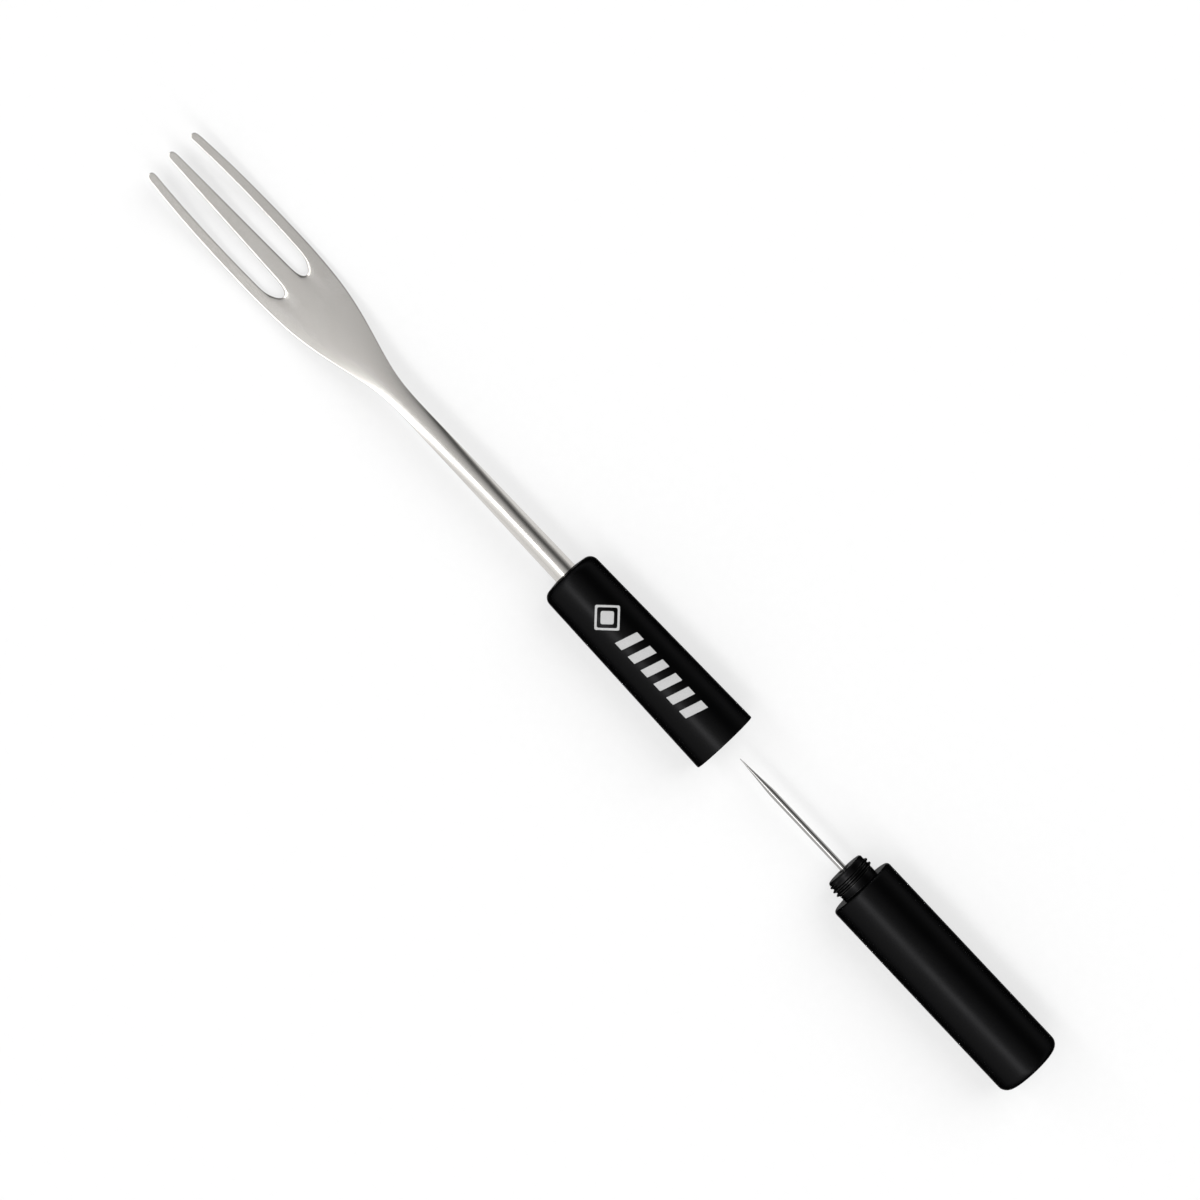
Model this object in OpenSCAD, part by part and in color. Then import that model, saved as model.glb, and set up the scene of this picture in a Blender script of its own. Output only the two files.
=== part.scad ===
// Two-part fork tool: a three-tined steel fork in a front handle, and a rear handle that unscrews
// and draws out of it, with a steel needle on its end. It lies as it is shown: unscrewed and drawn out.
// Everything lies along the X axis, with the tines towards -X and the domed end of the rear handle
// towards +X. Z is up, and the table is at z = 0. Lengths are in millimetres.

/* [Fork] */
// Length of the fork outside the handle, up to the middle tine's tip
fork_out = 118; // [95:1:145]
// Length of the fork's round tang inside the handle
tang_len = 9.5; // [7:0.5:12]
// Diameter of the shank where it leaves the handle, and of the tang
shank_d = 5.3; // [4.4:0.1:6.4]
// Width of the shank at its narrowest, just before the head
neck_w = 4.4; // [3.6:0.1:5.3]
// Distance from the handle to the place where the shank starts to widen into the head
neck_at = 48; // [38:1:56]
// Greatest width of the head
head_w = 16; // [13:0.5:20]
// Distance from the tips back to the widest place of the head
widest_from_tip = 29; // [24:1:35]
// Width across the tips of the two outer tines
tips_w = 13.5; // [11:0.5:17]
// Thickness of the head where the shank runs into it
head_t = 1.9; // [1.6:0.1:2.4]
// Thickness of the tines at their tips
tip_t = 1.4; // [1.1:0.1:1.7]
// How far the middle of the head's root stands above its sides
head_crown = 0.2; // [0:0.1:1]
// How far the tips rise above the lowest place of the head
tip_rise = 4.5; // [2:0.1:6]

/* [Tines] */
// Length of the tines, from the closed ends of the slots to the tips
tine_len = 37; // [28:1:42]
// Width of each tine at its tip
tine_tip_w = 1.75; // [1.3:0.05:2.4]
// Width of the middle tine at its root
mid_root_w = 4; // [3:0.1:5]
// Width of the outer tines at their roots
side_root_w = 2.5; // [1.9:0.1:3.2]
// How far the outer tines stop short of the middle one
side_short = 0.3; // [0:0.1:1]

/* [Handles] */
// Diameter of the rear handle, and of the front handle where they meet
handle_d = 15; // [12.5:0.5:18]
// Diameter of the front handle at its fork end
front_d = 13.4; // [11:0.2:15]
// Length of the front handle
front_len = 47.5; // [39:0.5:60]
// Length of the rear handle, from its shoulder to its domed end
rear_len = 51.5; // [40:0.5:65]
// Radius of the rounded edge at the fork end
front_edge_r = 2; // [1:0.25:3]
// Radius of the rounded edge at the domed end
rear_edge_r = 2; // [1:0.25:3]
// Angle that both rounded edges turn through before the end goes on as a shallow dome
edge_turn = 80; // [70:1:86]
// Radius of the rounded shoulder of the rear handle
shoulder_r = 0.8; // [0.3:0.1:1.2]

/* [Screw joint] */
// Outer diameter of the thread on the rear handle's neck
thread_d = 9.8; // [8:0.1:12]
// Advance of the thread in one turn
pitch = 1; // [0.8:0.05:1.25]
// Length of the threaded neck, in front of the shoulder
neck_len = 4.9; // [4.2:0.1:6]
// Length of the plain relief between the thread and the shoulder
relief_len = 1.2; // [0.8:0.1:1.5]
// Room between the flanks of the two threads, on each side
flank_gap = 0.07; // [0.04:0.01:0.09]

/* [Needle] */
// Diameter of the needle
needle_d = 1.5; // [1.2:0.05:2]
// Length of the needle's sharp point
point_len = 9.5; // [6:0.5:14]
// Length of the needle held in the rear handle
needle_seat = 12; // [8:0.5:16]
// Room between the needle's tip and the end of its chamber, with the tool screwed together
tip_gap = 1.2; // [0.6:0.1:3]
// Gap between the needle's tip and the mouth of the front handle, drawn out as shown
drawn_gap = 4.5; // [1:0.5:20]

/* [Hidden] */

$fn = 64;
EPS = 0.01;
// How far a cutting shape runs past the face that it cuts
CUT = 1;

// Screw joint: both threads lie on one helix, so they mesh when the tool is screwed together
thread_depth = 0.5;
root_r = thread_d / 2 - thread_depth;
ridge_root_w = 0.8 * pitch;
flank_angle = 30;
bore_clear = 0.1;
groove_clear = 0.12;
bore_r = root_r + bore_clear;
groove_r = thread_d / 2 + groove_clear;
ridge_sink = 0.1;
groove_sink = 0.08;
thread_lead = 0.75;
thread_facets = 30;
bore_thread_len = neck_len + pitch;
mouth_chamfer = 0.5;
neck_chamfer = 0.3;
rim_chamfer = 0.25;

// Inside of the front handle
web = 1;
chamber_len = front_len - tang_len - web;

// Needle
needle_fit = 0.02;
needle_end_gap = 0.3;
needle_lead_d = 2.6;
needle_lead_h = 0.5;
point_tip_d = 0.12;
needle_reach = chamber_len - tip_gap;

// Places along X at rest
drawn_out = needle_reach + drawn_gap;
overall = fork_out + front_len + drawn_out + rear_len;
tip_x = -overall / 2;
face_x = tip_x + fork_out;
mouth_x = face_x + front_len;
shoulder_x = mouth_x + drawn_out;
axis_z = handle_d / 2;

// Fork
shank_step = 0.04;
shank_root = 1;
edge_r = 0.45;
round_until = 8;
flat_after_neck = 12;
shoulder_skew = 1.5;
tine_taper_power = 2.5;
corner_steps = 6;
edge_steps = 8;
dome_steps = 3;
shoulder_steps = 6;
slot_steps = 10;
station_gap = 2;
slot_end_curve = 4.4;
slot_end_r = 0.85;
widest_at = fork_out - widest_from_tip;
slot_end_at = fork_out - tine_len;
belly_past_root = 3;
bend_before_neck = 7.2;
belly_at = slot_end_at + belly_past_root;
bend_at = neck_at - bend_before_neck;

// ---- helpers ----

function clamp01(t) = min(1, max(0, t));

// Smooth step from 0 to 1
function ease(t) = (1 - cos(180 * clamp01(t))) / 2;

function blend(a, b, t) = a + (b - a) * t;

// Points on an arc, with their own centre, two half axes and start and end angles
function arc(cx, cy, rx, ry, from, to, steps) = [
    for (i = [0:steps])
        let (a = blend(from, to, i / steps))
        [cx + rx * cos(a), cy + ry * sin(a)]
];

// Profile of a turned end, from its side to the axis: an edge of radius e, then a shallow dome.
// Its highest point is at height 0.
function domed_end(r, e) =
    let (
        dome_r = (r - e) / cos(edge_turn) + e,
        dome_rise = dome_r * (1 - sin(edge_turn)),
        step = (90 - edge_turn) / (dome_steps + 1)
    )
    concat(
        arc(r - e, -dome_rise - e * sin(edge_turn), e, e, 0, edge_turn, edge_steps),
        arc(0, -dome_r, dome_r, dome_r, edge_turn + step, 90, dome_steps)
    );

// Lays a shape that was drawn up the Z axis along X, on the tool's axis, starting at x
module along_x(x) {
    translate([x, 0, axis_z]) rotate([0, 90, 0]) children();
}

// A turned piece: the profile gives the radius and the distance along X from x
module turned(x, profile) {
    along_x(x) rotate_extrude() polygon(profile);
}

// Skin over a row of rings that have equal numbers of points, closed at both ends
module skin(rings) {
    n = len(rings[0]);
    last = len(rings) - 1;
    polyhedron(
        points = [for (ring = rings) each ring],
        faces = [
            [for (i = [0:n - 1]) n - 1 - i],
            [for (i = [0:n - 1]) last * n + i],
            for (k = [0:last - 1], i = [0:n - 1])
                let (j = (i + 1) % n)
                each [
                    [k * n + i, k * n + j, (k + 1) * n + j],
                    [k * n + i, (k + 1) * n + j, (k + 1) * n + i]
                ]
        ],
        convexity = 10
    );
}

// ---- screw thread ----

// Width of the thread's ridge at radius r, with room c on each flank
function ridge_w(r, c) = ridge_root_w + 2 * c - 2 * (r - root_r) * tan(flank_angle);

// One cross-section of the ridge, at x on the helix, from base_r out to crest_r
function ridge_ring(x, base_r, crest_r, c) =
    let (
        angle = 360 * (x - mouth_x) / pitch,
        base_half = ridge_w(base_r, c) / 2,
        crest_half = ridge_w(crest_r, c) / 2,
        section = [
            [-base_half, base_r],
            [-crest_half, crest_r],
            [crest_half, crest_r],
            [base_half, base_r]
        ]
    )
    [for (p = section) [x + p[0], p[1] * cos(angle), axis_z + p[1] * sin(angle)]];

// The helical ridge between two places on X. It rises from nothing over half a turn at each end.
module thread_ridge(from_x, to_x, base_r, crest_r, c) {
    steps = round((to_x - from_x) / pitch * thread_facets);
    fade = thread_facets / 2;
    skin([
        for (i = [0:steps])
            let (
                height = min(1, i / fade, (steps - i) / fade),
                top_r = blend(base_r + EPS, crest_r, height)
            )
            ridge_ring(blend(from_x, to_x, i / steps), base_r, top_r, c)
    ]);
}

// ---- fork ----

// Half the fork's width at a distance d from the handle
function half_width(d) =
    d < neck_at ? blend(shank_d - shank_step, neck_w, clamp01(d / neck_at)) / 2
    : d < widest_at
        ? let (t = (d - neck_at) / (widest_at - neck_at))
          blend(neck_w, head_w, pow(sin(90 * (1 - pow(1 - t, shoulder_skew))), 2)) / 2
    : let (t = (d - widest_at) / widest_from_tip)
      blend(head_w, tips_w, pow(t, tine_taper_power)) / 2;

// How far the section has gone from the round shank, 0, to the flat head, 1
function flatness(d) = ease((d - round_until) / (neck_at + flat_after_neck - round_until));

function half_thickness(d) =
    let (
        shank = blend(shank_d - shank_step, neck_w, clamp01(d / neck_at)) / 2,
        head = blend(head_t, tip_t, clamp01((d - neck_at) / (fork_out - neck_at))) / 2
    )
    blend(shank, head, flatness(d));

// Height of the fork's middle: straight from the handle, down to the belly, then up to the tips
function middle_z(d) =
    let (
        belly_z = half_thickness(belly_at) + head_crown,
        down = ease((d - bend_at) / (belly_at - bend_at)),
        up = clamp01((d - belly_at) / (fork_out - belly_at))
    )
    blend(axis_z, belly_z, down) + tip_rise * up * up;

// How much of the head's crown is there: all at the root of the head, none at the tips
function crown(d) = head_crown * flatness(d) * (1 - clamp01((d - slot_end_at) / tine_len));

// A rounded section of the fork, at distance d from the handle
function fork_ring(d) =
    let (
        w = half_width(d),
        h = half_thickness(d),
        flat = flatness(d),
        r = blend(min(w, h), edge_r, flat),
        quarter = [for (i = [0:corner_steps - 1]) 90 * (i + 0.5) / corner_steps],
        signs = [[1, 1], [-1, 1], [-1, -1], [1, -1]]
    )
    [
        for (q = [0:3], a = quarter)
            let (
                angle = a + 90 * q,
                y = signs[q][0] * (w - r) + r * cos(angle),
                z = signs[q][1] * (h - r) + r * sin(angle)
            )
            [face_x - d, y, middle_z(d) + z - crown(d) * pow(y / w, 2)]
    ];

// One slot between the tines, on the +Y side, in distances from the handle and from the middle
module slot_outline() {
    inner_tip = tine_tip_w / 2;
    outer_tip = tips_w / 2 - tine_tip_w;
    inner_root = mid_root_w / 2;
    outer_root = half_width(slot_end_at + slot_end_curve) - side_root_w;
    end_y = inner_root + slot_end_r;
    polygon(concat(
        [[fork_out + CUT, inner_tip], [fork_out + CUT, outer_tip]],
        arc(slot_end_at + slot_end_curve, end_y, slot_end_curve, outer_root - end_y, 90, 180, slot_steps),
        arc(slot_end_at + slot_end_r, end_y, slot_end_r, slot_end_r, 180, 270, slot_steps / 2)
    ));
}

// What is cut away around the round end of one tine, whose middle is at y
module tip_cut(y, short) {
    r = tine_tip_w / 2;
    end_at = fork_out - short;
    difference() {
        translate([end_at - r, y - r - CUT]) square([r + short + CUT, 2 * (r + CUT)]);
        translate([end_at - r, y]) circle(r);
        translate([end_at - r - CUT, y - r]) square([CUT, 2 * r]);
    }
}

module fork_cuts() {
    side_y = (tips_w - tine_tip_w) / 2;
    for (side = [-1, 1]) {
        scale_y(side) slot_outline();
        scale_y(side) tip_cut(side_y, side_short);
    }
    tip_cut(0, 0);
}

module scale_y(side) {
    if (side > 0) children();
    else mirror([0, 1]) children();
}

module fork() color("silver") {
    stations = ceil(fork_out / station_gap);
    difference() {
        skin([for (i = [0:stations]) fork_ring(blend(-shank_root, fork_out, i / stations))]);
        translate([face_x, 0, -CUT]) mirror([1, 0, 0])
            linear_extrude(handle_d + CUT) fork_cuts();
    }
    along_x(face_x) cylinder(h = tang_len, d = shank_d);
}

// ---- handles and needle ----

module front_handle() color("#1c1c1e") {
    rim_r = handle_d / 2;
    difference() {
        turned(face_x, concat(
            [for (p = domed_end(front_d / 2, front_edge_r)) [p[0], -p[1]]],
            [[0, front_len], [rim_r - rim_chamfer, front_len], [rim_r, front_len - rim_chamfer]]
        ));
        along_x(face_x - CUT) cylinder(h = tang_len + CUT, d = shank_d);
        along_x(mouth_x - chamber_len) cylinder(h = chamber_len + CUT, r = bore_r);
        turned(mouth_x - mouth_chamfer, [
            [0, 0], [bore_r, 0], [bore_r + mouth_chamfer * 2, mouth_chamfer * 2], [0, mouth_chamfer * 2]
        ]);
        thread_ridge(mouth_x - bore_thread_len, mouth_x + pitch, bore_r - groove_sink, groove_r, flank_gap);
    }
}

module needle() color("#b8babd") {
    turned(shoulder_x - needle_reach, [
        [0, 0],
        [point_tip_d / 2, 0],
        [needle_d / 2, point_len],
        [needle_d / 2, needle_reach - neck_len + needle_seat],
        [0, needle_reach - neck_len + needle_seat]
    ]);
}

module rear_handle() color("#1c1c1e") {
    r = handle_d / 2;
    neck_x = shoulder_x - neck_len;
    hole_r = needle_d / 2 + needle_fit;
    difference() {
        union() {
            turned(shoulder_x, concat(
                [[0, 0], [r - shoulder_r, 0]],
                arc(r - shoulder_r, shoulder_r, shoulder_r, shoulder_r, -90, 0, shoulder_steps),
                [for (p = domed_end(r, rear_edge_r)) [p[0], rear_len + p[1]]]
            ));
            turned(neck_x, [
                [0, 0], [root_r - neck_chamfer, 0], [root_r, neck_chamfer],
                [root_r, neck_len + EPS], [0, neck_len + EPS]
            ]);
            thread_ridge(neck_x + thread_lead, shoulder_x - relief_len, root_r - ridge_sink, thread_d / 2, 0);
        }
        along_x(neck_x - CUT) cylinder(h = needle_seat + needle_end_gap + CUT, r = hole_r);
        turned(neck_x - EPS, [[0, 0], [needle_lead_d / 2, 0], [hole_r, needle_lead_h], [0, needle_lead_h]]);
    }
}

fork();
front_handle();
needle();
rear_handle();
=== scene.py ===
import math

import bmesh
import bpy
from mathutils import Matrix, Vector


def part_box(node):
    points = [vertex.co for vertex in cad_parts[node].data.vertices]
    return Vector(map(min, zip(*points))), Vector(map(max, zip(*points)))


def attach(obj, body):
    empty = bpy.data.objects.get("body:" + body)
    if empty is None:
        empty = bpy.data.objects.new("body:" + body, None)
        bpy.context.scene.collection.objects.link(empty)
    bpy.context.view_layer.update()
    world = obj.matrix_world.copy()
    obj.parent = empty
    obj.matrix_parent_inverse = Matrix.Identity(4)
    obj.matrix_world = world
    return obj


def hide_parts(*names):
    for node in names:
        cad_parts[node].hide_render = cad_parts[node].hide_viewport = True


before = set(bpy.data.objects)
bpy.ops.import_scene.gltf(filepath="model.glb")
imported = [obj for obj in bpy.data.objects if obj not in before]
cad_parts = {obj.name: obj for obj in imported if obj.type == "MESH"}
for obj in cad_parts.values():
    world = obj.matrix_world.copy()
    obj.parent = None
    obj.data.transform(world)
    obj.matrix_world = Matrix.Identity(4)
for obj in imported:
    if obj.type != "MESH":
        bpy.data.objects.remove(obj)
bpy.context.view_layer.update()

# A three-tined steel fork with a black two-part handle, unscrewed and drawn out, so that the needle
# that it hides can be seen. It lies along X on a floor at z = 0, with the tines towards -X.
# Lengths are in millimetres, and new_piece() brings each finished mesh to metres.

MM = 0.001


# ---- places, from the frame ----

def low_high(node):
    """A node's lowest and highest corners, in millimetres."""
    low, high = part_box(node)
    return Vector(low) / MM, Vector(high) / MM


fork_low, fork_high = low_high("fork")
front_high = low_high("front_handle")[1]
needle_low, needle_high = low_high("needle")
rear_low, rear_high = low_high("rear_handle")

# ---- sizes ----

# Fork: its tang, then its widths at the handle, the neck, the head and the tips, and where they are
TANG_LEN = 9.5
SHANK_D = 5.26
NECK_W = 4.4
NECK_AT = 48.0
HEAD_W = 16.0
WIDEST_FROM_TIP = 29.0
TIPS_W = 13.5
# Its thickness, how far the head's sides lie below its middle, and how far the tips rise
HEAD_T = 1.9
TIP_T = 1.4
HEAD_CROWN = 0.2
TIP_RISE = 4.5
# The tines, at their roots and at their tips
TINE_LEN = 37.0
TINE_TIP_W = 1.75
MID_ROOT_W = 4.0
SIDE_ROOT_W = 2.5

# Handles
TANG_BORE_R = 2.65
WEB = 1.0
FRONT_R = 6.7
REAR_LEN = 51.5
# A rounded end's edge, which turns through this angle before a shallow dome goes on
EDGE_R = 2.0
EDGE_TURN = math.radians(80)
# The shoulder's edge, the mouth's rim and the small break on sharper edges
SHOULDER_R = 0.8
RIM_R = 0.25
BREAK = 0.08

# Screw joint: the neck's thread, and the front handle's thread that it runs in
PITCH = 1.0
NECK_LEN = 4.9
ROOT_R = 4.4
CREST_R = 4.9
BORE_R = 4.5
GROOVE_R = 5.02
RELIEF_LEN = 1.2
NECK_CHAMFER = 0.3
THREAD_LEAD = 0.75
# How deep a ridge's foot lies in the wall that it stands on
RIDGE_SINK = 0.1
RIDGE_ROOT_W = 0.8
FLANK_SLOPE = math.tan(math.radians(30))
FLANK_GAP = 0.07
BORE_THREAD_LEN = NECK_LEN + PITCH
THREAD_STEPS = 64

# Needle
NEEDLE_R = 0.75
NEEDLE_HOLE_R = 0.77
NEEDLE_LEAD_R = 1.3
NEEDLE_LEAD_LEN = 0.5
NEEDLE_HOLE_LEN = 12.3
POINT_LEN = 9.5
POINT_TIP_R = 0.06

# Places along X and the height of the tool's axis
tips_x = fork_low.x
face_x = fork_high.x - TANG_LEN
mouth_x = front_high.x
dome_x = rear_high.x
shoulder_x = dome_x - REAR_LEN
neck_x = shoulder_x - NECK_LEN
handle_r = (rear_high.y - rear_low.y) / 2
axis_z = (rear_low.z + rear_high.z) / 2
fork_out = face_x - tips_x


# ---- small helpers ----

def blend(a, b, t):
    return a + (b - a) * t


def clamp01(t):
    return min(1.0, max(0.0, t))


def ease(t):
    """Smooth step from 0 to 1."""
    return (1 - math.cos(math.pi * clamp01(t))) / 2


def new_piece(name, bm, material, body):
    """Turns a bmesh in millimetres into a piece at the origin that rides on a body."""
    bmesh.ops.scale(bm, vec=(MM, MM, MM), verts=bm.verts)
    mesh = bpy.data.meshes.new(name)
    bm.to_mesh(mesh)
    bm.free()
    mesh.polygons.foreach_set("use_smooth", [True] * len(mesh.polygons))
    mesh.materials.append(material)
    piece = bpy.data.objects.new(name, mesh)
    bpy.context.scene.collection.objects.link(piece)
    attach(piece, body)
    return piece


def verts_of(geometry):
    return [g for g in geometry if isinstance(g, bmesh.types.BMVert)]


# ---- the fork ----

# The cage's rows run lengthwise, from the middle line, 0, out to the rim
SLOT_IN = 1
SLOT_OUT = 3
RIM = 5
ROUND_UNTIL = 6.0
FLAT_AFTER_NECK = 10.0
BELLY_PAST_ROOT = 3.0
BEND_BEFORE_NECK = 7.2
SHOULDER_SKEW = 1.5
TAPER_POWER = 2.5
RIM_CREASE = 0.5
slot_end_at = fork_out - TINE_LEN
widest_at = fork_out - WIDEST_FROM_TIP
bend_at = NECK_AT - BEND_BEFORE_NECK

# Distances ahead of the handle at which the cage has a ring
STATIONS = [-TANG_LEN, 1 - TANG_LEN, 2, 12, 22, 32, 41, 47, 51.5, 55.5, 59.5, 63.5, 67.5, 71.5, 75.5]
SLOT_STATION = len(STATIONS)
STATIONS += [slot_end_at + s for s in (0, 4.5, 8.5, 13.5, 19, 25, 30.5, 34.6)]
STATIONS += [fork_out]

# How far each row stands ahead of its station, at the slots' closed ends and at the tips
END_SHIFT = [0.6, 0.6, -0.7, 2.6, 2.6, 2.6]
TIP_SHIFT = [0.0, -0.45, 0.0, -0.75, -0.3, -0.75]
END_SHIFT_REACH = 3


def half_width(d):
    """Half the fork's width at a distance d ahead of the handle."""
    if d < NECK_AT:
        return blend(SHANK_D, NECK_W, clamp01(d / NECK_AT)) / 2
    if d < widest_at:
        t = (d - NECK_AT) / (widest_at - NECK_AT)
        return blend(NECK_W, HEAD_W, math.sin(math.pi / 2 * (1 - (1 - t) ** SHOULDER_SKEW)) ** 2) / 2
    t = (d - widest_at) / WIDEST_FROM_TIP
    return blend(HEAD_W, TIPS_W, t ** TAPER_POWER) / 2


def flatness(d):
    """How far the section has gone from the round shank, 0, to the flat head, 1."""
    return ease((d - ROUND_UNTIL) / (NECK_AT + FLAT_AFTER_NECK - ROUND_UNTIL))


def half_thickness(d):
    shank = blend(SHANK_D, NECK_W, clamp01(d / NECK_AT)) / 2
    head = blend(HEAD_T, TIP_T, clamp01((d - NECK_AT) / (fork_out - NECK_AT))) / 2
    return blend(shank, head, flatness(d))


def crown(d):
    """How far the sides of the head lie below its middle."""
    return HEAD_CROWN * flatness(d) * (1 - clamp01((d - slot_end_at) / TINE_LEN))


def middle_z(d):
    """Height of the fork's middle: straight, down to the belly, and up to the tips."""
    belly_at = slot_end_at + BELLY_PAST_ROOT
    down = ease((d - bend_at) / (belly_at - bend_at))
    up = clamp01((d - belly_at) / (fork_out - belly_at))
    return blend(axis_z, half_thickness(belly_at) + HEAD_CROWN, down) + TIP_RISE * up * up


def row_y(row, d):
    """Where a lengthwise row of the flat head lies, from the middle line out."""
    ahead = clamp01((d - slot_end_at) / TINE_LEN)
    rim = half_width(max(d, slot_end_at))
    slot_in = blend(MID_ROOT_W, TINE_TIP_W, ahead) / 2
    slot_out = rim - blend(SIDE_ROOT_W, TINE_TIP_W, ahead)
    rows = [0, slot_in, (slot_in + slot_out) / 2, slot_out, (slot_out + rim) / 2, rim]
    return rows[row] * half_width(d) / rim


def fork_point(station, row, side, top):
    """Where a point of the fork's cage goes, on its top or its underside."""
    near_end = max(0.0, 1 - abs(station - SLOT_STATION) / END_SHIFT_REACH)
    d = STATIONS[station] + END_SHIFT[row] * near_end ** 2
    if station == len(STATIONS) - 1:
        d += TIP_SHIFT[row]
    w = half_width(d)
    h = half_thickness(d)
    step = math.pi / (2 * RIM + 1)
    angle = math.pi / 2 - step * row
    # The smooth surface runs inside its cage: a point of it is 4 parts of its own corner and 1 part
    # of each neighbour, out of 6. So the round shank's cage is larger by this much.
    swell = 6 / (4 + 2 * math.cos(step))
    y = blend(w * swell * math.cos(angle), row_y(row, d), flatness(d))
    z = blend(h * swell * math.sin(angle), h, flatness(d))
    up = z if top else -z
    return Vector((face_x - d, side * y, middle_z(d) + up - crown(d) * (y / w) ** 2))


def make_fork(material):
    """The fork is a coarse cage of rows and stations, creased along its rims and subdivided."""
    bm = bmesh.new()
    last = len(STATIONS) - 1
    bmesh.ops.create_grid(bm, x_segments=last, y_segments=2 * RIM, size=1)
    for v in bm.verts:
        v.co = Vector((round((v.co.x + 1) / 2 * last), round(v.co.y * RIM), 0))
    slots = []
    for f in bm.faces:
        middle = f.calc_center_median()
        if middle.x > SLOT_STATION and SLOT_IN < abs(middle.y) < SLOT_OUT:
            slots.append(f)
    bmesh.ops.delete(bm, geom=slots, context="FACES")
    raised = bmesh.ops.extrude_face_region(bm, geom=bm.faces[:], use_keep_orig=True)
    bmesh.ops.translate(bm, vec=(0, 0, 1), verts=verts_of(raised["geom"]))
    bm.normal_update()
    crease = bm.edges.layers.float.new("crease_edge")
    for e in bm.edges:
        a, b = (v.co for v in e.verts)
        on_rim = any(abs(f.normal.z) < 0.5 for f in e.link_faces)
        if a.z == b.z and on_rim:
            e[crease] = RIM_CREASE * flatness(STATIONS[round((a.x + b.x) / 2)])
    for v in bm.verts:
        side = 1 if v.co.y > 0 else -1
        v.co = fork_point(round(v.co.x), round(abs(v.co.y)), side, v.co.z > 0.5)
    bmesh.ops.recalc_face_normals(bm, faces=bm.faces)
    piece = new_piece("steel_fork", bm, material, "front")
    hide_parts("fork")
    rounding = piece.modifiers.new("rounding", "SUBSURF")
    rounding.levels = rounding.render_levels = 3
    return piece


# ---- turned pieces ----

SPIN_STEPS = 128
ROUND_STEPS = 6
# Points closer than this are one point
WELD = 0.001
# Share of its height that a ridge keeps at its very ends
RIDGE_END = 0.02
# An edge that bends by more than this many degrees stays sharp
SHARP_ANGLE = 35


def turn(bm, corners):
    """Turns a closed shape about the tool's axis. A corner is its x, its radius and its rounding:
    how far from the corner, along both sides, the round edge begins."""
    verts = [bm.verts.new((x, r, 0)) for x, r, _ in corners]
    for a, b in zip(verts, verts[1:]):
        bm.edges.new((a, b))
    for v, (_, _, rounding) in zip(verts, corners):
        if rounding > 0:
            bmesh.ops.bevel(
                bm, geom=[v], offset=rounding, offset_type="OFFSET", segments=ROUND_STEPS,
                profile=0.5, affect="VERTICES", material=-1,
            )
    wire = bm.verts[:] + bm.edges[:]
    bmesh.ops.spin(
        bm, geom=wire, cent=(0, 0, 0), axis=(1, 0, 0), angle=2 * math.pi, steps=SPIN_STEPS,
        use_merge=True,
    )
    bmesh.ops.remove_doubles(bm, verts=bm.verts, dist=WELD)


def domed_end(apex_x, inward, radius):
    """Corners of a turned end, from the axis to the side: a shallow dome, then a rounded edge."""
    lean = math.pi / 2 - EDGE_TURN
    dome_r = (radius - EDGE_R) / math.sin(lean) + EDGE_R
    dome_corner = dome_r * math.tan(lean / 2)
    edge_x = apex_x + inward * (radius - dome_corner) * math.tan(lean)
    return [
        (apex_x, 0, 0),
        (apex_x, dome_corner, dome_corner),
        (edge_x, radius, EDGE_R * math.tan(EDGE_TURN / 2)),
    ]


def ridge_width(radius, gap):
    """Width of the thread's ridge, or of the groove that it runs in with a gap on each flank."""
    return RIDGE_ROOT_W + 2 * gap - 2 * (radius - ROOT_R) * FLANK_SLOPE


def add_ridge(bm, from_x, to_x, base_r, crest_r, base_w, crest_w, turned_by):
    """A helical ridge between two places on X, which rises from nothing over half a turn."""
    steps = round((to_x - from_x) / PITCH * THREAD_STEPS)
    section = [
        (-base_w / 2, base_r), (-crest_w / 2, crest_r), (crest_w / 2, crest_r), (base_w / 2, base_r),
    ]
    crest_corners = (1, 2)
    ridge = bmesh.new()
    ring = [ridge.verts.new((from_x + x, r, 0)) for x, r in section]
    edges = [ridge.edges.new((ring[i - 1], ring[i])) for i in range(len(ring))]
    bmesh.ops.spin(
        ridge, geom=ring + edges, cent=(0, 0, 0), axis=(1, 0, 0), dvec=(PITCH / THREAD_STEPS, 0, 0),
        angle=2 * math.pi * steps / THREAD_STEPS, steps=steps,
    )
    fade = THREAD_STEPS / 2
    for i, v in enumerate(ridge.verts):
        step, corner = divmod(i, len(section))
        if corner in crest_corners:
            height = min(1, step / fade, (steps - step) / fade)
            shrink = blend(base_r, crest_r, max(height, RIDGE_END)) / crest_r
            v.co.y *= shrink
            v.co.z *= shrink
    start = 2 * math.pi * ((from_x - mouth_x) / PITCH + turned_by)
    bmesh.ops.rotate(ridge, verts=ridge.verts, cent=(0, 0, 0), matrix=Matrix.Rotation(start, 3, "X"))
    bmesh.ops.holes_fill(ridge, edges=[e for e in ridge.edges if e.is_boundary], sides=len(section))
    mesh = bpy.data.meshes.new("ridge")
    ridge.to_mesh(mesh)
    ridge.free()
    bm.from_mesh(mesh)
    bpy.data.meshes.remove(mesh)


def finish_turned(name, bm, material, body, sharp_angle=SHARP_ANGLE):
    bmesh.ops.translate(bm, vec=(0, 0, axis_z), verts=bm.verts)
    bmesh.ops.recalc_face_normals(bm, faces=bm.faces)
    piece = new_piece(name, bm, material, body)
    piece.data.set_sharp_from_angle(angle=math.radians(sharp_angle))
    even = piece.modifiers.new("even_shading", "WEIGHTED_NORMAL")
    even.keep_sharp = True
    return piece


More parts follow.
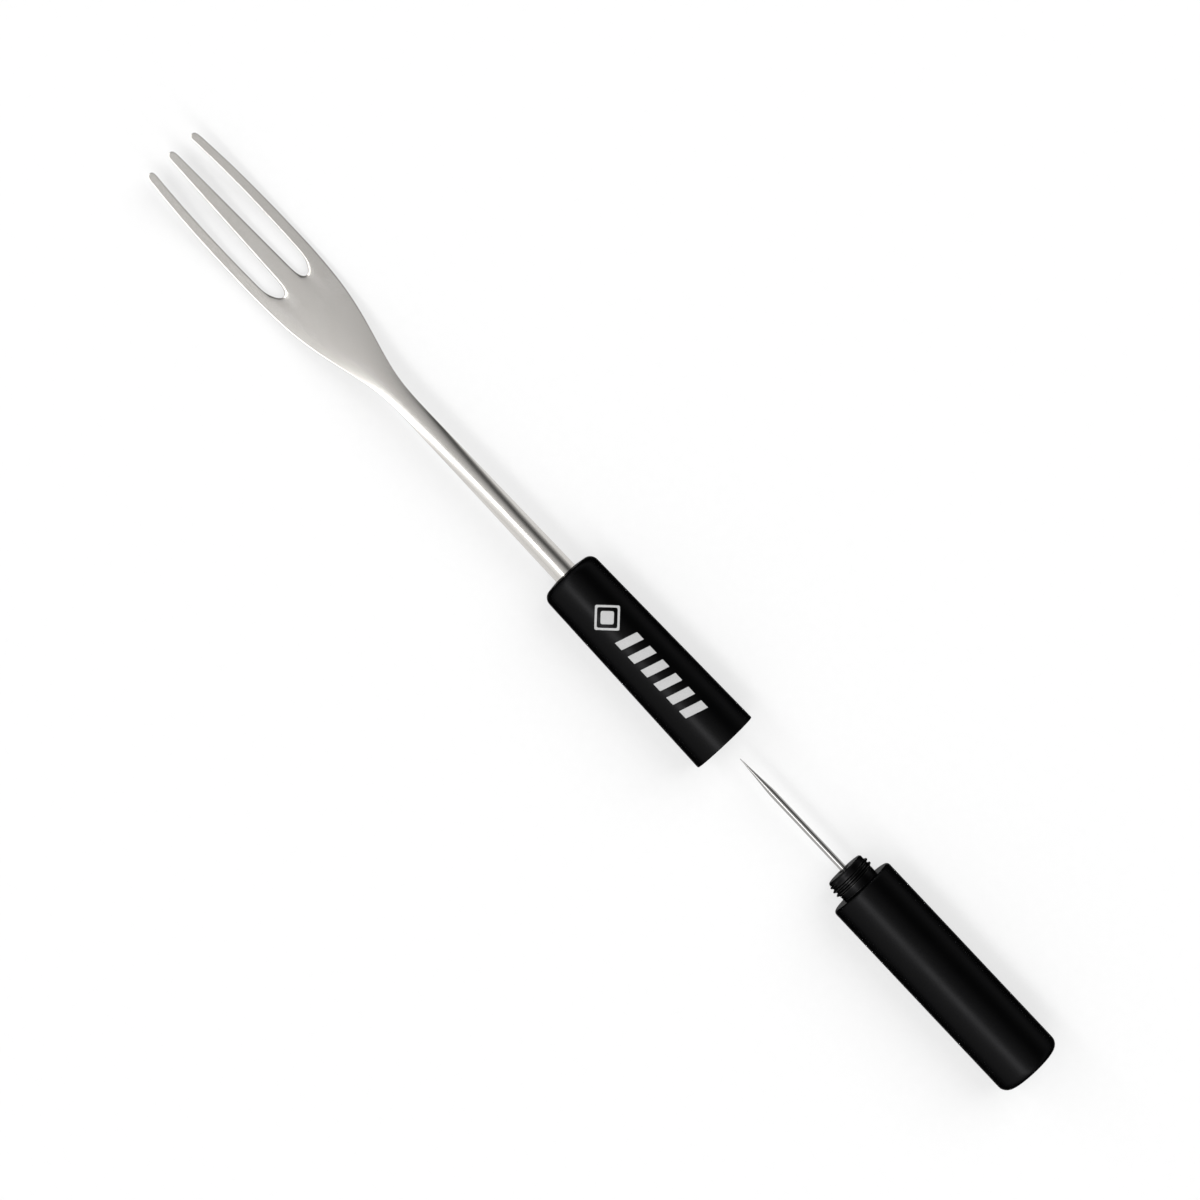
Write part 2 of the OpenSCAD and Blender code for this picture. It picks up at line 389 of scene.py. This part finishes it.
def make_front_handle(material):
    """The tapered front handle: a bore for the fork's tang, and a threaded chamber for the needle."""
    edge = domed_end(face_x, 1, FRONT_R)[-1]
    # The bore opens near the middle of the end, where it has hardly begun to slope back
    bore_x = face_x + TANG_BORE_R * (edge[0] - face_x) / (2 * FRONT_R)
    thread_end_x = mouth_x - BORE_THREAD_LEN
    chamber_x = face_x + TANG_LEN + WEB
    bm = bmesh.new()
    turn(bm, [
        (face_x + TANG_LEN, 0, 0),
        (face_x + TANG_LEN, TANG_BORE_R, 0),
        (bore_x, TANG_BORE_R, BREAK),
        edge,
        (mouth_x, handle_r, RIM_R),
        (mouth_x, GROOVE_R, BREAK),
        (thread_end_x, GROOVE_R, 0),
        (thread_end_x, BORE_R, BREAK),
        (chamber_x, BORE_R, 0),
        (chamber_x, 0, 0),
    ])
    base_r = GROOVE_R + RIDGE_SINK
    base_w = PITCH - ridge_width(base_r, FLANK_GAP)
    crest_w = PITCH - ridge_width(BORE_R, FLANK_GAP)
    add_ridge(bm, thread_end_x + PITCH / 2, mouth_x - PITCH / 2, base_r, BORE_R, base_w, crest_w, 0.5)
    piece = finish_turned("front_grip", bm, material, "front")
    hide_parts("front_handle")
    return piece


def make_rear_handle(material):
    """The rear handle, with the threaded neck that closes the tool and the needle's hole in it."""
    hole_end_x = neck_x + NEEDLE_HOLE_LEN
    bm = bmesh.new()
    turn(bm, [
        (hole_end_x, 0, 0),
        (hole_end_x, NEEDLE_HOLE_R, 0),
        (neck_x + NEEDLE_LEAD_LEN, NEEDLE_HOLE_R, BREAK),
        (neck_x, NEEDLE_LEAD_R, BREAK),
        (neck_x, ROOT_R - NECK_CHAMFER, BREAK),
        (neck_x + NECK_CHAMFER, ROOT_R, BREAK),
        (shoulder_x, ROOT_R, 2 * BREAK),
        (shoulder_x, handle_r, SHOULDER_R),
        *reversed(domed_end(dome_x, -1, handle_r)),
    ])
    base_r = ROOT_R - RIDGE_SINK
    base_w = ridge_width(base_r, 0)
    crest_w = ridge_width(CREST_R, 0)
    add_ridge(bm, neck_x + THREAD_LEAD, shoulder_x - RELIEF_LEN, base_r, CREST_R, base_w, crest_w, 0)
    piece = finish_turned("rear_grip_body", bm, material, "rear")
    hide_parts("rear_handle")
    return piece


def make_needle(material):
    """The needle: a plain rod, ground to a long point."""
    bm = bmesh.new()
    turn(bm, [
        (needle_low.x, 0, 0),
        (needle_low.x, POINT_TIP_R, POINT_TIP_R / 2),
        (needle_low.x + POINT_LEN, NEEDLE_R, NEEDLE_R),
        (needle_high.x, NEEDLE_R, 2 * BREAK),
        (needle_high.x, 0, 0),
    ])
    piece = finish_turned("steel_needle", bm, material, "needle", sharp_angle=60)
    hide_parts("needle")
    return piece


# ---- the printed mark ----

MARK_X = 1.85
LOZENGE_HALF_LEN = 3.6
LOZENGE_ROUNDING = 0.4
LOZENGE_LINE = 0.45
LOZENGE_GAP = 0.75
BAR_COUNT = 6
BARS_FROM_X = 6.65
BARS_TO_X = 29.0
BAR_W = 2.0
BAR_H = 4.8
BAR_SLANT = 0.3
INK_T = 0.02
# Width of the strips that the mark is cut into, so that it follows the handle's round
INK_CUT = 0.35


def add_lozenge(bm):
    """A lozenge drawn as a line, with a solid one inside it."""
    bmesh.ops.create_circle(bm, cap_ends=True, segments=4, radius=LOZENGE_HALF_LEN)
    lozenge = bm.faces[:]
    settings = {"faces": lozenge, "use_even_offset": True, "use_boundary": True}
    bmesh.ops.inset_region(bm, thickness=LOZENGE_LINE, **settings)
    gap = bmesh.ops.inset_region(bm, thickness=LOZENGE_GAP, **settings)
    bmesh.ops.delete(bm, geom=gap["faces"], context="FACES")
    bmesh.ops.bevel(
        bm, geom=bm.verts[:], offset=LOZENGE_ROUNDING, offset_type="OFFSET", segments=ROUND_STEPS,
        profile=0.5, affect="VERTICES", material=-1,
    )
    bmesh.ops.translate(bm, vec=(MARK_X, 0, 0), verts=bm.verts)


def add_bar(bm, x):
    """One slanted bar, with its middle at x."""
    grid = bmesh.ops.create_grid(bm, x_segments=1, y_segments=1, size=0.5)
    for v in grid["verts"]:
        v.co = Vector((x + v.co.x * BAR_W + v.co.y * BAR_H * BAR_SLANT, v.co.y * BAR_H, 0))


def make_mark(material):
    """The mark is laid flat, cut into strips, wrapped round the front handle and given its thickness."""
    bm = bmesh.new()
    add_lozenge(bm)
    reach = BAR_W + BAR_H * BAR_SLANT
    for i in range(BAR_COUNT):
        add_bar(bm, blend(BARS_FROM_X + reach / 2, BARS_TO_X - reach / 2, i / (BAR_COUNT - 1)))
    cuts = round(2 * LOZENGE_HALF_LEN / INK_CUT)
    for i in range(1, cuts):
        y = blend(-LOZENGE_HALF_LEN, LOZENGE_HALF_LEN, i / cuts)
        everything = bm.verts[:] + bm.edges[:] + bm.faces[:]
        bmesh.ops.bisect_plane(
            bm, geom=everything, dist=WELD / 10, plane_co=(0, y, 0), plane_no=(0, 1, 0),
        )
    edge_x = domed_end(face_x, 1, FRONT_R)[-1][0]
    for v in bm.verts:
        radius = blend(FRONT_R, handle_r, (v.co.x - edge_x) / (mouth_x - edge_x)) + INK_T
        v.co.z = axis_z + math.sqrt(radius ** 2 - v.co.y ** 2)
    raised = bmesh.ops.extrude_face_region(bm, geom=bm.faces[:], use_keep_orig=True)
    bmesh.ops.translate(bm, vec=(0, 0, -2 * INK_T), verts=verts_of(raised["geom"]))
    bmesh.ops.recalc_face_normals(bm, faces=bm.faces)
    piece = new_piece("printed_mark", bm, material, "front")
    piece.data.set_sharp_from_angle(angle=math.radians(SHARP_ANGLE))
    return piece


# ---- shared effects ----

def add(tree, kind, inputs=None, **settings):
    """Adds a node, sets it up, and links or sets its inputs."""
    node = tree.nodes.new(kind)
    for key, value in settings.items():
        setattr(node, key, value)
    for key, value in (inputs or {}).items():
        if isinstance(value, bpy.types.NodeSocket):
            tree.links.new(value, node.inputs[key])
        else:
            node.inputs[key].default_value = value
    return node


def new_group(name, inputs, outputs):
    """A shader node group with named inputs and outputs."""
    tree = bpy.data.node_groups.new(name, "ShaderNodeTree")
    for socket, kind in inputs:
        tree.interface.new_socket(name=socket, in_out="INPUT", socket_type="NodeSocket" + kind)
    for socket, kind in outputs:
        tree.interface.new_socket(name=socket, in_out="OUTPUT", socket_type="NodeSocket" + kind)
    return tree, tree.nodes.new("NodeGroupInput"), tree.nodes.new("NodeGroupOutput")


def use(tree, group, inputs):
    """Places a shared effect in a material, with the material's own values."""
    return add(tree, "ShaderNodeGroup", inputs, node_tree=group)


def make_grain():
    """Fine grain: round grains at a stretch of 1, lengthwise brush lines at a larger one."""
    tree, inside, outside = new_group(
        "grain", [("Place", "Vector"), ("Grains per mm", "Float"), ("Stretch", "Float")],
        [("Grain", "Float")],
    )
    squeeze = add(tree, "ShaderNodeMath", {0: 1.0, 1: inside.outputs["Stretch"]}, operation="DIVIDE")
    sizes = add(tree, "ShaderNodeCombineXYZ", {"X": squeeze.outputs[0], "Y": 1.0, "Z": 1.0})
    place = add(
        tree, "ShaderNodeVectorMath", {0: inside.outputs["Place"], 1: sizes.outputs[0]},
        operation="MULTIPLY",
    )
    scale = add(
        tree, "ShaderNodeMath", {0: inside.outputs["Grains per mm"], 1: 1 / MM}, operation="MULTIPLY",
    )
    noise = add(
        tree, "ShaderNodeTexNoise",
        {"Vector": place.outputs[0], "Scale": scale.outputs[0], "Detail": 3.0, "Roughness": 0.6},
    )
    tree.links.new(noise.outputs["Fac"], outside.inputs["Grain"])
    return tree


def make_handling():
    """Soft cloudy marks that handling leaves, from Low to High."""
    tree, inside, outside = new_group(
        "handling",
        [("Place", "Vector"), ("Size in mm", "Float"), ("Low", "Float"), ("High", "Float")],
        [("Value", "Float")],
    )
    scale = add(
        tree, "ShaderNodeMath", {0: 1 / MM, 1: inside.outputs["Size in mm"]}, operation="DIVIDE",
    )
    noise = add(
        tree, "ShaderNodeTexNoise",
        {
            "Vector": inside.outputs["Place"], "Scale": scale.outputs[0],
            "Detail": 4.0, "Distortion": 0.6,
        },
    )
    spread = add(
        tree, "ShaderNodeMapRange",
        {
            "Value": noise.outputs["Fac"], "From Min": 0.3, "From Max": 0.7,
            "To Min": inside.outputs["Low"], "To Max": inside.outputs["High"],
        },
    )
    tree.links.new(spread.outputs["Result"], outside.inputs["Value"])
    return tree


# Cosine of the angle that an edge bends a normal by, where the edge mask begins and where it is full
EDGE_MARK_BEGINS = 0.995
EDGE_MARK_FULL = 0.9
PATCHES_PER_MM = 1.2


def make_edge_wear_and_highlight():
    """Mask of the edges, broken up so that it isn't even. It lays edge wear, and on the black handle
    also a painted highlight.
    """
    tree, inside, outside = new_group(
        "edge_wear_and_highlight", [("Place", "Vector"), ("Width in mm", "Float"), ("Amount", "Float")],
        [("Mask", "Float")],
    )
    width = add(
        tree, "ShaderNodeMath", {0: inside.outputs["Width in mm"], 1: MM}, operation="MULTIPLY",
    )
    rounded = add(tree, "ShaderNodeBevel", {"Radius": width.outputs[0]}, samples=6)
    surface = tree.nodes.new("ShaderNodeNewGeometry")
    alike = add(
        tree, "ShaderNodeVectorMath", {0: rounded.outputs[0], 1: surface.outputs["Normal"]},
        operation="DOT_PRODUCT",
    )
    edge = add(
        tree, "ShaderNodeMapRange",
        {"Value": alike.outputs["Value"], "From Min": EDGE_MARK_BEGINS, "From Max": EDGE_MARK_FULL},
    )
    patches = add(
        tree, "ShaderNodeTexNoise",
        {"Vector": inside.outputs["Place"], "Scale": PATCHES_PER_MM / MM, "Detail": 4.0},
    )
    broken = add(
        tree, "ShaderNodeMapRange",
        {
            "Value": patches.outputs["Fac"], "From Min": 0.35, "From Max": 0.65,
            "To Min": 0.25, "To Max": 1.0,
        },
    )
    wear_and_highlight = add(
        tree, "ShaderNodeMath", {0: edge.outputs["Result"], 1: broken.outputs["Result"]},
        operation="MULTIPLY",
    )
    mask = add(
        tree, "ShaderNodeMath", {0: wear_and_highlight.outputs[0], 1: inside.outputs["Amount"]},
        operation="MULTIPLY",
    )
    tree.links.new(mask.outputs[0], outside.inputs["Mask"])
    return tree


grain_group = make_grain()
handling_group = make_handling()
edge_wear_and_highlight_group = make_edge_wear_and_highlight()


# ---- materials ----

def rgb(red, green, blue):
    return (red, green, blue, 1)


def grey(value):
    return (value, value, value, 1)


def new_material(name, constants):
    """A material whose shader has these constants. Gives its tree, shader and object coordinates."""
    material = bpy.data.materials.new(name)
    material.use_nodes = True
    tree = material.node_tree
    shader = tree.nodes["Principled BSDF"]
    for key, value in constants.items():
        shader.inputs[key].default_value = value
    place = tree.nodes.new("ShaderNodeTexCoord").outputs["Object"]
    return material, tree, shader, place


# A Mix node's own sockets for colours
MIX_A = 6
MIX_B = 7
MIX_RESULT = 2


def mix_colors(tree, factor, a, b):
    """A colour that goes from a to b as the factor goes from 0 to 1."""
    inputs = {"Factor": factor, MIX_A: a, MIX_B: b}
    return add(tree, "ShaderNodeMix", inputs, data_type="RGBA").outputs[MIX_RESULT]


def vary(tree, factor, low, high):
    """A value that goes from low to high as the factor goes from 0 to 1."""
    change = add(tree, "ShaderNodeMapRange", {"Value": factor, "To Min": low, "To Max": high})
    return change.outputs["Result"]


def bump(tree, height, depth_mm, strength, over=None):
    """The normals of a fine relief, over other normals where they are given."""
    inputs = {"Height": height, "Distance": depth_mm * MM, "Strength": strength}
    if over:
        inputs["Normal"] = over
    return add(tree, "ShaderNodeBump", inputs).outputs["Normal"]


def satin_steel():
    """Stainless steel with a fine blasted grain over lengthwise brush lines."""
    dull = rgb(0.66, 0.635, 0.605)
    bright = rgb(0.73, 0.71, 0.685)
    pits = rgb(0.55, 0.53, 0.5)
    rubbed_and_highlight = rgb(0.82, 0.81, 0.79)
    smoothest = 0.16
    roughest = 0.3
    rubbed_roughness = 0.14
    material, tree, shader, place = new_material("satin_steel", {"Metallic": 1.0})
    grain = use(tree, grain_group, {"Place": place, "Grains per mm": 5.0, "Stretch": 1.0})
    lines = use(tree, grain_group, {"Place": place, "Grains per mm": 7.0, "Stretch": 14.0})
    marks = use(tree, handling_group, {"Place": place, "Size in mm": 14.0, "Low": 0.0, "High": 1.0})
    wear_and_highlight = use(tree, edge_wear_and_highlight_group, {"Place": place, "Width in mm": 0.35, "Amount": 0.7})
    metal = mix_colors(tree, marks.outputs["Value"], dull, bright)
    speckled = mix_colors(tree, grain.outputs["Grain"], pits, metal)
    color = mix_colors(tree, wear_and_highlight.outputs["Mask"], speckled, rubbed_and_highlight)
    tree.links.new(color, shader.inputs["Base Color"])
    brushed_roughness = vary(tree, lines.outputs["Grain"], smoothest, roughest)
    roughness = vary(tree, wear_and_highlight.outputs["Mask"], brushed_roughness, rubbed_roughness)
    tree.links.new(roughness, shader.inputs["Roughness"])
    brushed = bump(tree, lines.outputs["Grain"], depth_mm=0.02, strength=0.25)
    blasted = bump(tree, grain.outputs["Grain"], depth_mm=0.02, strength=0.3, over=brushed)
    tree.links.new(blasted, shader.inputs["Normal"])
    return material


# Spacing of the rings on the needle's point, and how often a wave repeats in a length of 1
RING_SPACING = 0.825
WAVES = 20 / (2 * math.pi)


def polished_steel():
    """Bright drawn steel: faint lengthwise lines on the rod, and grinding rings on the point."""
    in_lines = rgb(0.31, 0.304, 0.296)
    between_lines = rgb(0.43, 0.423, 0.415)
    ring_roughness = 0.26
    material, tree, shader, place = new_material("polished_steel", {"Metallic": 1.0})
    lines = use(tree, grain_group, {"Place": place, "Grains per mm": 9.0, "Stretch": 30.0})
    marks = use(tree, handling_group, {"Place": place, "Size in mm": 6.0, "Low": 0.08, "High": 0.17})
    rings = add(
        tree, "ShaderNodeTexWave",
        {"Vector": place, "Scale": 1 / (RING_SPACING * MM * WAVES), "Distortion": 1.5, "Detail": 2.0},
        wave_type="BANDS", bands_direction="X",
    )
    along = add(tree, "ShaderNodeSeparateXYZ", {"Vector": place})
    point_end = (needle_low.x + POINT_LEN) * MM
    on_point = add(
        tree, "ShaderNodeMapRange",
        {"Value": along.outputs["X"], "From Min": point_end, "From Max": point_end - MM},
    )
    ground = add(
        tree, "ShaderNodeMath", {0: rings.outputs["Fac"], 1: on_point.outputs["Result"]},
        operation="MULTIPLY",
    )
    color = mix_colors(tree, lines.outputs["Grain"], in_lines, between_lines)
    tree.links.new(color, shader.inputs["Base Color"])
    roughness = vary(tree, ground.outputs[0], marks.outputs["Value"], ring_roughness)
    tree.links.new(roughness, shader.inputs["Roughness"])
    drawn = bump(tree, lines.outputs["Grain"], depth_mm=0.006, strength=0.3)
    ringed = bump(tree, ground.outputs[0], depth_mm=0.006, strength=0.4, over=drawn)
    tree.links.new(ringed, shader.inputs["Normal"])
    return material


def black_anodised():
    """Bead-blasted aluminium, anodised black, a little brighter on edges and crests: edge wear, and a
    painted highlight along them.
    """
    deep = rgb(0.0058, 0.0058, 0.006)
    pale = rgb(0.0115, 0.0115, 0.0119)
    # Lighter grey for edges and crests: edge wear, and a painted highlight along the rims.
    rubbed_and_highlight = rgb(0.06, 0.059, 0.058)
    rubbed_roughness = 0.24
    material, tree, shader, place = new_material(
        "black_anodised", {"Metallic": 1.0, "Specular Tint": grey(0.3)},
    )
    grain = use(tree, grain_group, {"Place": place, "Grains per mm": 4.5, "Stretch": 1.0})
    marks = use(
        tree, handling_group, {"Place": place, "Size in mm": 11.0, "Low": 0.31, "High": 0.37},
    )
    wear_and_highlight = use(tree, edge_wear_and_highlight_group, {"Place": place, "Width in mm": 0.3, "Amount": 0.55})
    dyed = mix_colors(tree, grain.outputs["Grain"], deep, pale)
    # The edge mask lays the lighter grey over the dye: painted highlight and wear along every edge and
    # crest.
    color = mix_colors(tree, wear_and_highlight.outputs["Mask"], dyed, rubbed_and_highlight)
    tree.links.new(color, shader.inputs["Base Color"])
    roughness = vary(tree, wear_and_highlight.outputs["Mask"], marks.outputs["Value"], rubbed_roughness)
    tree.links.new(roughness, shader.inputs["Roughness"])
    blasted = bump(tree, grain.outputs["Grain"], depth_mm=0.02, strength=0.25)
    tree.links.new(blasted, shader.inputs["Normal"])
    return material


def grey_ink():
    """Pad-printed light grey ink, thin enough to show the grain under it as small specks."""
    thin = grey(0.25)
    full = grey(0.36)
    material, tree, shader, place = new_material("grey_ink", {"Specular IOR Level": 0.3})
    grain = use(tree, grain_group, {"Place": place, "Grains per mm": 5.0, "Stretch": 1.0})
    marks = use(tree, handling_group, {"Place": place, "Size in mm": 5.0, "Low": 0.5, "High": 0.62})
    color = mix_colors(tree, grain.outputs["Grain"], thin, full)
    tree.links.new(color, shader.inputs["Base Color"])
    tree.links.new(marks.outputs["Value"], shader.inputs["Roughness"])
    printed = bump(tree, grain.outputs["Grain"], depth_mm=0.01, strength=0.3)
    tree.links.new(printed, shader.inputs["Normal"])
    return material


def white_paper():
    """The floor: white paper with a faint tooth. Part of its white is its own glow, so that shadows
    stay light."""
    in_tooth = grey(0.21)
    on_tooth = grey(0.23)
    glow = 0.585
    material, tree, shader, place = new_material(
        "white_paper",
        {
            "Specular IOR Level": 0.0, "Roughness": 0.9,
            "Emission Color": grey(1), "Emission Strength": glow,
        },
    )
    tooth = use(tree, grain_group, {"Place": place, "Grains per mm": 0.5, "Stretch": 1.0})
    color = mix_colors(tree, tooth.outputs["Grain"], in_tooth, on_tooth)
    tree.links.new(color, shader.inputs["Base Color"])
    return material


# ---- stage, light and camera ----

# How far the floor reaches each way, in metres
FLOOR_REACH = 3


def make_floor(material):
    bm = bmesh.new()
    bmesh.ops.create_grid(bm, x_segments=1, y_segments=1, size=FLOOR_REACH)
    mesh = bpy.data.meshes.new("floor")
    bm.to_mesh(mesh)
    bm.free()
    mesh.materials.append(material)
    floor = bpy.data.objects.new("floor", mesh)
    bpy.context.scene.collection.objects.link(floor)


# Brightness of the studio round the tool's axis: degrees from straight up, towards -Y
STUDIO = [
    (-90, 0.75), (-72, 0.35), (-55, 0.08), (-38, 0.12), (-22, 0.44), (-8, 0.64), (2, 0.68),
    (14, 0.8), (20, 4.4), (25, 7.6), (30, 4.4), (36, 1.3), (55, 1.1), (90, 0.85),
]
STUDIO_PEAK = 7.6


def make_studio():
    """A soft studio, with a narrow bright band high up towards -Y and a wide dark one towards +Y."""
    world = bpy.data.worlds.new("studio")
    bpy.context.scene.world = world
    world.use_nodes = True
    tree = world.node_tree
    lit = tree.nodes["Background"]
    direction = tree.nodes.new("ShaderNodeTexCoord").outputs["Generated"]
    toward = add(tree, "ShaderNodeSeparateXYZ", {"Vector": direction})
    away = add(tree, "ShaderNodeMath", {0: toward.outputs["Y"], 1: -1.0}, operation="MULTIPLY")
    angle = add(
        tree, "ShaderNodeMath", {0: away.outputs[0], 1: toward.outputs["Z"]}, operation="ARCTAN2",
    )
    share = add(
        tree, "ShaderNodeMapRange",
        {"Value": angle.outputs[0], "From Min": -math.pi / 2, "From Max": math.pi / 2},
    )
    ramp = add(tree, "ShaderNodeValToRGB", {"Fac": share.outputs["Result"]})
    stops = ramp.color_ramp.elements
    # A new ramp has its two end stops already
    for degrees, _ in STUDIO[1:-1]:
        stops.new((degrees + 90) / 180)
    for stop, (_, brightness) in zip(stops, STUDIO):
        stop.color = grey(brightness / STUDIO_PEAK)
    tree.links.new(ramp.outputs["Color"], lit.inputs["Color"])
    lit.inputs["Strength"].default_value = STUDIO_PEAK
    backdrop = add(tree, "ShaderNodeBackground", {"Color": grey(1), "Strength": 1.0})
    seen = tree.nodes.new("ShaderNodeLightPath").outputs["Is Camera Ray"]
    mix = add(
        tree, "ShaderNodeMixShader",
        {0: seen, 1: lit.outputs["Background"], 2: backdrop.outputs["Background"]},
    )
    tree.links.new(mix.outputs["Shader"], tree.nodes["World Output"].inputs["Surface"])


# The fill light's strength, its height above the floor and its spread, in degrees
FILL_STRENGTH = 2.8
FILL_HEIGHT = 50
FILL_SOFTNESS = 50


def make_fill_light():
    """A soft light from +Y that only the floor and the ink take up. It isn't seen in the metal."""
    data = bpy.data.lights.new("fill_light", "SUN")
    data.energy = FILL_STRENGTH
    data.angle = math.radians(FILL_SOFTNESS)
    light = bpy.data.objects.new("fill_light", data)
    light.rotation_euler = (math.radians(FILL_HEIGHT - 90), 0, 0)
    light.visible_glossy = False
    bpy.context.scene.collection.objects.link(light)


# Width of what the camera sees at the tool's height and its middle, in metres, and its turn
VIEW_W = 0.2445
LENS = 120
SENSOR_W = 36
VIEW_MIDDLE = (-0.00175, 0.00139)
VIEW_TURN = 46.73


def make_camera():
    """Straight down from above, turned so that the tool runs from corner to corner."""
    data = bpy.data.cameras.new("camera")
    data.lens = LENS
    data.sensor_width = SENSOR_W
    camera = bpy.data.objects.new("camera", data)
    camera.location = (*VIEW_MIDDLE, axis_z * MM + VIEW_W * LENS / SENSOR_W)
    camera.rotation_euler = (0, 0, math.radians(VIEW_TURN))
    bpy.context.scene.collection.objects.link(camera)
    bpy.context.scene.camera = camera


black = black_anodised()
make_fork(satin_steel())
make_front_handle(black)
make_needle(polished_steel())
make_rear_handle(black)
make_mark(grey_ink())

make_floor(white_paper())
make_studio()
make_fill_light()
make_camera()
bpy.context.scene.view_settings.view_transform = "Standard"
